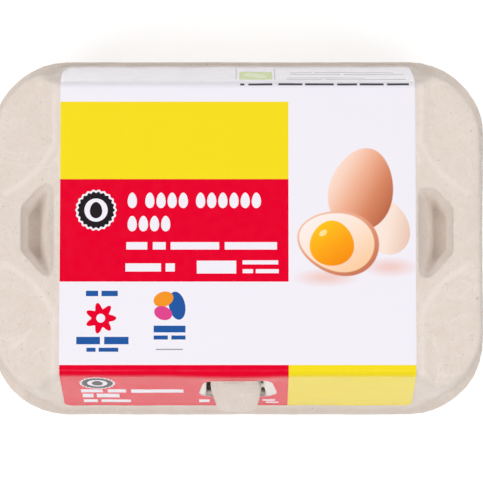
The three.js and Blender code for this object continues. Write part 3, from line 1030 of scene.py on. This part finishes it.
def bend_sheet(bm, section, pulp):
    """Lays the flat sheet over the lid, whose waves it follows."""
    for vert in bm.verts:
        x, along = vert.co.x, vert.co.y
        y, z, outwards = section.place(along)
        place = Vector((x, y, z))
        down = share_of(LID_HIGH.z - z, 0, LID_HIGH.z - LABEL_FOOT)
        place.x += LABEL_WIDEN[quadrant(x, y)] * x * down
        vert.co = place + outwards * wander(place, pulp)
        vert.co.y += handmade(vert.co)


def write_uv(bm, section):
    """The flat place of each corner, in millimetres, and a map for baking."""
    sheet = bm.loops.layers.uv.new(SHEET_UV)
    bake = bm.loops.layers.uv.new(BAKE_UV)
    wide, high = BAKE_FRONT
    for face in bm.faces:
        for loop in face.loops:
            x, along, _ = loop.vert.co
            loop[sheet].uv = (x / MM, along / MM)
            loop[bake].uv = (
                BAKE_EDGE + wide * (x / LABEL_HALF + 1) / 2,
                BAKE_EDGE + high * (along / section.end + 1) / 2,
            )


def spread_back(piece):
    """Moves the bake map of the sheet's back and its cut edges beside that of its front."""
    bm = mesh_of(piece)
    sheet, bake = bm.loops.layers.uv[SHEET_UV], bm.loops.layers.uv[BAKE_UV]
    front = {vert for face in bm.faces if face.material_index == 0 for vert in face.verts}
    for face in bm.faces:
        if face.material_index == 0:
            continue
        on_edge = any(vert in front for vert in face.verts)
        for loop in face.loops:
            x, along = loop[sheet].uv
            if on_edge:
                height = 0.5 + (x + BAKE_RIM_SLANT * along) / BAKE_RIM_LENGTH
                loop[bake].uv = (BAKE_RIM[0] + (BAKE_RIM[1] if loop.vert in front else 0.0), height)
            else:
                across = (loop[bake].uv.x - BAKE_EDGE) / BAKE_FRONT[0]
                loop[bake].uv = (BAKE_BACK[0] + BAKE_BACK[1] * across, loop[bake].uv.y)
    put_back(bm, piece)


def thicken(piece, thickness):
    """Gives the sheet its thickness inwards, with the paper's own colour at its back and its cut edges."""
    card = piece.modifiers.new("Paper", "SOLIDIFY")
    card.thickness = thickness
    card.offset = -1
    card.use_even_offset = True
    card.material_offset = 1
    card.material_offset_rim = 1
    apply_modifiers(piece)


def build_label(label, pulp):
    section = Section(label.lift)
    bm = flat_sheet(section)
    write_uv(bm, section)
    bend_sheet(bm, section, pulp)
    bmesh.ops.recalc_face_normals(bm, faces=bm.faces)
    if sum(face.normal.z for face in bm.faces) < 0:
        bmesh.ops.reverse_faces(bm, faces=bm.faces)
    piece = new_piece("label_sheet", bm)
    for name in (PAPER, PAPER_EDGE):
        piece.data.materials.append(bpy.data.materials[name])
    thicken(piece, label.thickness)
    spread_back(piece)
    piece.data.shade_smooth()
    piece.data.set_sharp_from_angle(angle=LABEL_SHARP)
    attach(piece, ROOT)
    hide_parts("label")


# The print, in millimetres on the flat sheet, from its middle. The front wall starts
# at about -45 and the back wall at about 45.
PRINT_HALF = (LABEL_HALF - LABEL_MARGIN) / MM
FIELDS = (  # the colour, then the sides of a field across and along the sheet
    ("yellow", (-PRINT_HALF, 15.0), (14.6, 37.7)), ("yellow", (-PRINT_HALF, PRINT_HALF), (-80.0, -40.4)),
    ("red", (-PRINT_HALF, 15.0), (-15.8, 14.6)), ("red", (-PRINT_HALF, 15.0), (-80.0, -40.4)),
)

# Small eggs in place of large words: where a row starts, how many it has, and its middle along the sheet
EGG_ROWS = ((-31.2, 1, 8.3), (-26.0, 4, 8.3), (-11.0, 6, 8.3), (-31.2, 4, 1.4))
EGG_STEP = 3.3
EGG_HALF = (1.35, 2.3)
EGG_TAPER = -0.14

# Plain bars in place of small words: middle and half height of a row, then the ends of each bar
WHITE_BARS = (
    (-5.2, 1.1, (-33, -26.8), (-25.2, -21.4), (-19.9, -5.6), (-4.0, 11.5)),
    (-11.6, 1.2, (-33.2, -22.7), (-21.3, -18.6)), (-11.5, 1.9, (-12.1, -0.5)),
    (-10.1, 0.6, (1.4, 11.9)), (-12.7, 0.6, (1.4, 4.5), (5.3, 12.1)),
    (-58.0, 1.5, (-46.9, -40.5), (-39.0, -33.5), (-32.0, -16.4)),
    (-62.6, 1.7, (-46.6, -43.4), (-42.4, -35.6)),
    (-67.6, 1.3, (-46.6, -42.4), (-41.2, -32.4), (-11.7, -8.6)),
    (-67.0, 0.7, (7.4, 11.2)), (-69.2, 0.6, (8.4, 12.2)),
)
DARK_BARS = ((
    43.1, 0.42,
    (0.7, 1.9), (3.0, 10.1), (11.9, 19.0), (19.9, 28.4), (29.3, 35.2), (36.1, 43.2), (44.1, 50.6),
),)
GREY_BARS = (
    (48.6, 0.5, (14.6, 25.2), (26.0, 50.0)), (51.6, 0.5, (14.6, 38.0)),
    (58.0, 0.6, (15.7, 31.0), (31.8, 50.0)), (61.4, 0.6, (15.7, 22.2), (23.0, 47.0)),
    (-35.8, 0.16, (-24.1, -16.2)),
    (59.3, 10.7, (-0.65, -0.4)), (59.3, 10.7, (10.95, 11.2)),
)
BLUE_BARS = (
    (-19.3, 0.8, (-44.8, -41.2), (-40.2, -35.4)), (-33.2, 1.1, (-47.6, -40.6), (-39.4, -32.2)),
    (-35.9, 0.6, (-44.6, -41.9), (-41.0, -35.2)), (-29.8, 1.0, (-24.8, -15.4)),
    (-32.3, 0.6, (-24.8, -20.6), (-19.6, -15.4)),
)

DARK_PRINT = paint(70, 68, 74)
GREY_PRINT = paint(150, 148, 152)
BLUE_PRINT = paint(36, 88, 160)

# Small generic marks
SEALS = (((-41.9, 5.4), 6.15), ((-41.7, -50.6), 5.4))  # middle and radius
SEAL_TEETH = 22
SEAL_RINGS = ((1.0, 0.03, "paper"), (0.9, 0.04, "dark"))  # share of the radius, depth of the teeth, colour
SEAL_DISC = 0.56
SEAL_EGG = (0.3, 0.4)
FLOWER = ((-40.4, -26.6), 4.6, 7, 0.2)  # middle, radius, petals and their depth
FLOWER_HEART = 1.3
BADGE = ((0.4, 10.3), (48.8, 63.2))
BADGE_GREEN = paint(183, 204, 100)
OVALS = (  # colour, middle, half size and turn
    (BLUE_PRINT, (-17.9, -22.9), (2.4, 4.2), 0.2),
    (paint(243, 150, 40), (-21.9, -21.0), (3.0, 2.2), 0.35),
    (paint(222, 70, 140), (-22.0, -25.1), (2.7, 2.0), -0.35),
    (paint(214, 226, 160), (5.3, 56.0), (3.0, 5.2), 0.5),
)

# The picture's eggs: colours towards the light, middle, half size, turn and the way to the light
CREAM = ((0.0, paint(232, 196, 178)), (0.45, paint(248, 226, 212)), (1.0, paint(252, 240, 232)))
BROWN = (
    (0.0, paint(186, 102, 72)), (0.3, paint(216, 136, 100)), (0.6, paint(240, 178, 148)),
    (0.85, paint(249, 212, 192)), (1.0, paint(251, 222, 206)),
)
SHELL = ((0.0, paint(200, 118, 86)), (0.5, paint(226, 152, 118)), (1.0, paint(246, 196, 168)))
WHITE = ((0.0, paint(250, 204, 160)), (0.5, paint(252, 226, 206)), (1.0, paint(250, 240, 238)))
YOLK = ((0.0, paint(246, 138, 14)), (0.45, paint(252, 164, 24)), (1.0, paint(254, 198, 30)))
PICTURE_EGGS = (
    (CREAM, (44.2, 0.4), (6.4, 8.4), 0.25, (-0.8, 0.5)),
    (BROWN, (36.6, 11.6), (9.6, 12.6), -0.22, (-0.9, 0.35)),
    (SHELL, (29.6, -4.2), (9.6, 12.4), 1.35, (0.6, 0.8)),
    (WHITE, (29.2, -4.0), (8.7, 11.4), 1.35, (0.6, 0.8)),
    (YOLK, (27.8, -4.4), (6.6, 6.8), 0.0, (-0.5, 0.8)),
)
PICTURE_TAPER = -0.13
PICTURE_EDGE = 0.03
PICTURE_SHADOWS = (((26.0, -14.6), (10.5, 3.0)), ((45.0, -11.5), (9.0, 3.2)))
SHADOW_SHADE = paint(240, 205, 200)
SHADOW_FADE = (0.2, 1.0)
YOLK_LIGHT = (paint(255, 226, 150), (25.2, -1.4), (1.3, 0.8), 0.6)


class Print(Wiring):
    """The label's print. Each mark goes over the colours that are there already."""

    def __init__(self, tree, colours):
        super().__init__(tree)
        self.place = self.node("UVMap", uv_map=SHEET_UV).outputs[0]
        self.across, self.along = self.sides(self.place)
        self.colours = colours
        self.colour = colours["paper"]

    def sides(self, place):
        parts = self.node("SeparateXYZ", {"Vector": place})
        return parts.outputs["X"], parts.outputs["Y"]

    def over(self, mask, colour):
        """Lays a colour, which may be given by name, where the mask is 1."""
        self.colour = self.mix(mask, self.colour, self.colours.get(colour, colour))

    def length(self, place):
        return self.vector("LENGTH", place, out="Value")

    def strip(self, value, middle, half):
        """1 within half of the middle, else 0."""
        return self.math("COMPARE", value, middle, half)

    def rectangle(self, x_range, y_range):
        """1 inside a rectangle, from two strips."""
        strips = (
            self.strip(value, (low + high) / 2, (high - low) / 2)
            for value, (low, high) in ((self.across, x_range), (self.along, y_range))
        )
        return self.math("MULTIPLY", *strips)

    def oval(self, middle, half, turn=0.0):
        """The place as seen from an oval: within length 1 is inside it."""
        made = self.node("Mapping", {
            "Vector": self.place, "Location": (*middle, 0), "Rotation": (0, 0, turn), "Scale": (*half, 1),
        }, vector_type="TEXTURE")
        return made.outputs[0]

    def disc(self, middle, half, turn=0.0):
        return self.math("LESS_THAN", self.length(self.oval(middle, half, turn)), 1.0)

    def bars(self, middle, half, *spans):
        """A row of plain bars, each from one place to another."""
        start, stop = spans[0][0] - 1, spans[-1][1] + 1
        stops = [(0.0, 0)]
        for left, right in spans:
            stops += [((left - start) / (stop - start), 1), ((right - start) / (stop - start), 0)]
        columns = self.ramp(self.between(self.across, start, stop), stops, steps=True)
        return self.math("MULTIPLY", columns, self.strip(self.along, middle, half))

    def egg_row(self, left, count, middle):
        """A row of small upright eggs."""
        right = left + EGG_STEP * (count - 0.5)
        local_x = self.math("WRAP", self.math("SUBTRACT", self.across, left), EGG_STEP / 2, -EGG_STEP / 2)
        local_y = self.math("DIVIDE", self.math("SUBTRACT", self.along, middle), EGG_HALF[1])
        taper = self.math("MULTIPLY_ADD", local_y, EGG_TAPER, 1.0)
        scaled_x = self.math("DIVIDE", local_x, self.math("MULTIPLY", taper, EGG_HALF[0]))
        place = self.node("CombineXYZ", {"X": scaled_x, "Y": local_y}).outputs[0]
        start = left - EGG_STEP / 2
        row = self.strip(self.across, (start + right) / 2, (right - start) / 2)
        return self.math("MULTIPLY", self.math("LESS_THAN", self.length(place), 1.0), row)

    def rosette(self, middle, radius, teeth, depth):
        """A disc with a scalloped edge."""
        local = self.oval(middle, (radius, radius))
        x, y = self.sides(local)
        wave = self.math("COSINE", self.math("MULTIPLY", self.math("ARCTAN2", y, x), teeth))
        edge = self.math("MULTIPLY_ADD", wave, depth, 1 - depth)
        return self.math("LESS_THAN", self.length(local), edge)

    def egg(self, shades, middle, half, turn=0.0, light=(0.0, 1.0)):
        """An egg whose shade changes along one direction across it."""
        local = self.oval(middle, half, turn)
        x, y = self.sides(local)
        taper = self.math("MULTIPLY_ADD", y, PICTURE_TAPER, 1.0)
        shape = self.node("CombineXYZ", {"X": self.math("DIVIDE", x, taper), "Y": y}).outputs[0]
        share = self.between(self.vector("DOT_PRODUCT", local, (*light, 0), out="Value"), -1.0, 1.0)
        ring = self.math("SUBTRACT", 1.0, self.length(shape))
        self.over(self.between(ring, 0.0, PICTURE_EDGE), self.ramp(share, shades))

    def shadow(self, middle, half):
        """A shadow that fades out from its middle."""
        far = self.length(self.oval(middle, half))
        self.over(self.between(far, *SHADOW_FADE, 1.0, 0.0), SHADOW_SHADE)

    def seal(self, middle, radius):
        """A dark rosette with a white rim and a white disc with a dark egg."""
        for share, depth, name in SEAL_RINGS:
            self.over(self.rosette(middle, share * radius, SEAL_TEETH, depth), name)
        self.over(self.disc(middle, (SEAL_DISC * radius, SEAL_DISC * radius)), "paper")
        wide, high = SEAL_EGG
        dark = self.colours["dark"]
        self.egg(((0.0, dark), (1.0, dark)), middle, (wide * radius, high * radius))

    def fields(self):
        """The large fields of colour, which leave a narrow margin at the cut edges."""
        for name in ("yellow", "red"):
            self.over(self.either([self.rectangle(*sides) for key, *sides in FIELDS if key == name]), name)

    def words(self):
        """Rows of eggs and plain bars where a pack has its words."""
        eggs = [self.egg_row(*row) for row in EGG_ROWS]
        self.over(self.either([*eggs, *(self.bars(*row) for row in WHITE_BARS)]), "paper")
        self.over(self.either([self.bars(*row) for row in DARK_BARS]), DARK_PRINT)
        self.over(self.either([self.bars(*row) for row in GREY_BARS]), GREY_PRINT)

    def marks(self):
        """Two seals, a flower, a group of ovals, a green badge and the bars beside them."""
        for seal in SEALS:
            self.seal(*seal)
        self.over(self.rosette(*FLOWER), "red")
        self.over(self.disc(FLOWER[0], (FLOWER_HEART, FLOWER_HEART)), "paper")
        self.over(self.either([self.bars(*row) for row in BLUE_BARS]), BLUE_PRINT)
        self.over(self.rectangle(*BADGE), BADGE_GREEN)
        for colour, *oval in OVALS:
            self.over(self.disc(*oval), colour)

    def picture(self):
        """Eggs in warm browns and a round yolk, drawn with plain ovals."""
        for shadow in PICTURE_SHADOWS:
            self.shadow(*shadow)
        for egg in PICTURE_EGGS:
            self.egg(*egg)
        colour, *oval = YOLK_LIGHT
        self.over(self.disc(*oval), colour)


# The paper's faint ripple: scale per millimetre, what it adds to the roughness, strength and height
RIPPLE_SCALE = 0.35
RIPPLE_ROUGHNESS = (-0.03, 0.04)
RIPPLE_BUMP = (0.05, 0.1 * MM)
EDGE_FIBRES = 2500
EDGE_TINT = (0.93, 0.93, 0.93)
EDGE_ROUGHNESS = 0.8


def label_material(label):
    """Coated paper, printed, with the faint unevenness of what it is glued to."""
    _, w, shader = fresh_material(PAPER)
    colours = {name: tuple(getattr(label, name)) for name in ("paper", "yellow", "red", "dark")}
    sheet = Print(w.tree, colours)
    sheet.fields()
    sheet.words()
    sheet.marks()
    sheet.picture()
    w.feed(shader.inputs["Base Color"], sheet.colour)
    shader.inputs["Specular IOR Level"].default_value = label.gloss
    ripple = w.grain(sheet.place, RIPPLE_SCALE)
    smooth, rough = (label.roughness + change for change in RIPPLE_ROUGHNESS)
    w.feed(shader.inputs["Roughness"], w.between(ripple, *GRAIN_RANGE, smooth, rough))
    bump = w.node("Bump", {"Height": ripple, "Strength": RIPPLE_BUMP[0], "Distance": RIPPLE_BUMP[1]})
    w.feed(shader.inputs["Normal"], bump.outputs[0])


def paper_edge_material(label):
    """The bare paper at the label's cut edges and on its back."""
    _, w, shader = fresh_material(PAPER_EDGE)
    fibre = w.grain(w.node("TexCoord").outputs["Object"], EDGE_FIBRES, rough=0.6)
    colour = w.mix(fibre, tuple(label.paper), tinted(label.paper, EDGE_TINT))
    w.feed(shader.inputs["Base Color"], colour)
    shader.inputs["Roughness"].default_value = EDGE_ROUGHNESS


FLOOR_HALF = 4.0
FLOOR_ROUGHNESS = 0.9
SKY_SHADES = ((0.0, 1.0), (0.24, 0.9), (0.42, 0.25), (0.7, 0.1), (1.0, 0.06))  # at sines of the height
LAMP_TILT = math.radians(36)
LAMP_DISTANCE = 1.1
LAMP_SIZE = 0.55
LAMP_SHARES = ((45, 0.74), (135, 0.94), (225, 1.26), (315, 1.06))  # at headings in degrees
AIM = Vector((1.1 * MM, -3.9 * MM, 69 * MM))
SENSOR = 36
CLIP = (0.01, 20)


def floor_material(stage):
    """A matt floor that glows a little, so that it shows white."""
    material, _, shader = fresh_material("stage_floor")
    shader.inputs["Base Color"].default_value = (*stage.floor, 1)
    shader.inputs["Roughness"].default_value = FLOOR_ROUGHNESS
    shader.inputs["Specular IOR Level"].default_value = 0.0
    shader.inputs["Emission Color"].default_value = (1, 1, 1, 1)
    shader.inputs["Emission Strength"].default_value = stage.glow
    return material


def build_floor(stage):
    bm = bmesh.new()
    bmesh.ops.create_grid(bm, x_segments=1, y_segments=1, size=FLOOR_HALF)
    floor = new_piece("floor", bm)
    floor.data.materials.append(floor_material(stage))


def add_aimed(name, data, distance, direction):
    """Adds a lamp or a camera that looks at the lid's top from one direction."""
    made = bpy.data.objects.new(name, data)
    made.location = AIM + distance * direction
    made.rotation_euler = direction.to_track_quat("Z", "Y").to_euler()
    bpy.context.scene.collection.objects.link(made)
    return made


def build_lamps(stage):
    for degrees, share in LAMP_SHARES:
        heading = math.radians(degrees)
        lamp = bpy.data.lights.new("soft_box", "AREA")
        lamp.shape = "SQUARE"
        lamp.size = LAMP_SIZE
        lamp.energy = share * stage.lamps
        level, up = math.sin(LAMP_TILT), math.cos(LAMP_TILT)
        add_aimed("soft_box", lamp, LAMP_DISTANCE, Vector((
            level * math.cos(heading), level * math.sin(heading), up,
        )))


def build_sky(stage):
    world = bpy.data.worlds.new("even_light")
    world.use_nodes = True
    world.node_tree.nodes.clear()
    w = Wiring(world.node_tree)
    up = w.node("SeparateXYZ", {"Vector": w.node("TexCoord").outputs["Generated"]}).outputs["Z"]
    light = w.node("Background", {"Color": w.ramp(up, SKY_SHADES), "Strength": stage.sky})
    w.node("OutputWorld", {"Surface": light.outputs[0]})
    bpy.context.scene.world = world


def build_camera(stage):
    data = bpy.data.cameras.new("camera")
    data.lens = stage.lens
    data.sensor_width = SENSOR
    data.clip_start, data.clip_end = CLIP
    direction = Vector((0, -math.cos(stage.elevation), math.sin(stage.elevation)))
    bpy.context.scene.camera = add_aimed("camera", data, stage.distance, direction)


class EGGCARTON_OT_materials(bpy.types.Operator):
    """Make the pulp and the printed paper"""

    bl_idname = "egg_carton.materials"
    bl_label = "Materials"

    def execute(self, context):
        pulp_material(context.scene.egg_carton_pulp)
        label_material(context.scene.egg_carton_label)
        paper_edge_material(context.scene.egg_carton_label)
        return {"FINISHED"}


class EGGCARTON_OT_lid(bpy.types.Operator):
    """Build the moulded lid"""

    bl_idname = "egg_carton.lid"
    bl_label = "Lid"

    def execute(self, context):
        build_lid(context.scene.egg_carton_pulp)
        return {"FINISHED"}


class EGGCARTON_OT_base(bpy.types.Operator):
    """Build the moulded base with its six cups, and the fold that hinges the lid to it"""

    bl_idname = "egg_carton.base"
    bl_label = "Base and hinge fold"

    def execute(self, context):
        build_base(context.scene.egg_carton_pulp)
        build_hinge(context.scene.egg_carton_pulp)
        return {"FINISHED"}


class EGGCARTON_OT_lock(bpy.types.Operator):
    """Build the flap and button that lock the lid"""

    bl_idname = "egg_carton.lock"
    bl_label = "Lock"

    def execute(self, context):
        build_lock(context.scene.egg_carton_pulp)
        return {"FINISHED"}


class EGGCARTON_OT_label(bpy.types.Operator):
    """Build the printed label over the lid"""

    bl_idname = "egg_carton.label"
    bl_label = "Label"

    def execute(self, context):
        build_label(context.scene.egg_carton_label, context.scene.egg_carton_pulp)
        return {"FINISHED"}


class EGGCARTON_OT_stage(bpy.types.Operator):
    """Build the floor, the soft light and the camera"""

    bl_idname = "egg_carton.stage"
    bl_label = "Stage"

    def execute(self, context):
        stage = context.scene.egg_carton_stage
        build_floor(stage)
        build_lamps(stage)
        build_sky(stage)
        build_camera(stage)
        context.scene.view_settings.view_transform = "Standard"
        return {"FINISHED"}


SETTINGS = {
    "egg_carton_pulp": PulpSettings,
    "egg_carton_label": LabelSettings,
    "egg_carton_stage": StageSettings,
}
OPERATORS = (
    EGGCARTON_OT_stage, EGGCARTON_OT_materials, EGGCARTON_OT_lid,
    EGGCARTON_OT_base, EGGCARTON_OT_lock, EGGCARTON_OT_label,
)


class EGGCARTON_PT_parts(bpy.types.Panel):
    bl_idname = "EGGCARTON_PT_parts"
    bl_label = "Egg carton"
    bl_space_type = "VIEW_3D"
    bl_region_type = "UI"
    bl_category = "Egg carton"

    def draw(self, context):
        for operator in OPERATORS:
            self.layout.operator(operator.bl_idname)
        for name in SETTINGS:
            box = self.layout.box()
            group = getattr(context.scene, name)
            for key in group.__annotations__:
                box.prop(group, key)


def register():
    for name, group in SETTINGS.items():
        bpy.utils.register_class(group)
        setattr(bpy.types.Scene, name, PointerProperty(type=group))
    for operator in OPERATORS:
        bpy.utils.register_class(operator)
    bpy.utils.register_class(EGGCARTON_PT_parts)


def unregister():
    bpy.utils.unregister_class(EGGCARTON_PT_parts)
    for operator in reversed(OPERATORS):
        bpy.utils.unregister_class(operator)
    for name, group in SETTINGS.items():
        delattr(bpy.types.Scene, name)
        bpy.utils.unregister_class(group)


def main():
    register()
    for operator in OPERATORS:
        group, action = operator.bl_idname.split(".")
        getattr(getattr(bpy.ops, group), action)()


if __name__ == "__main__":
    main()
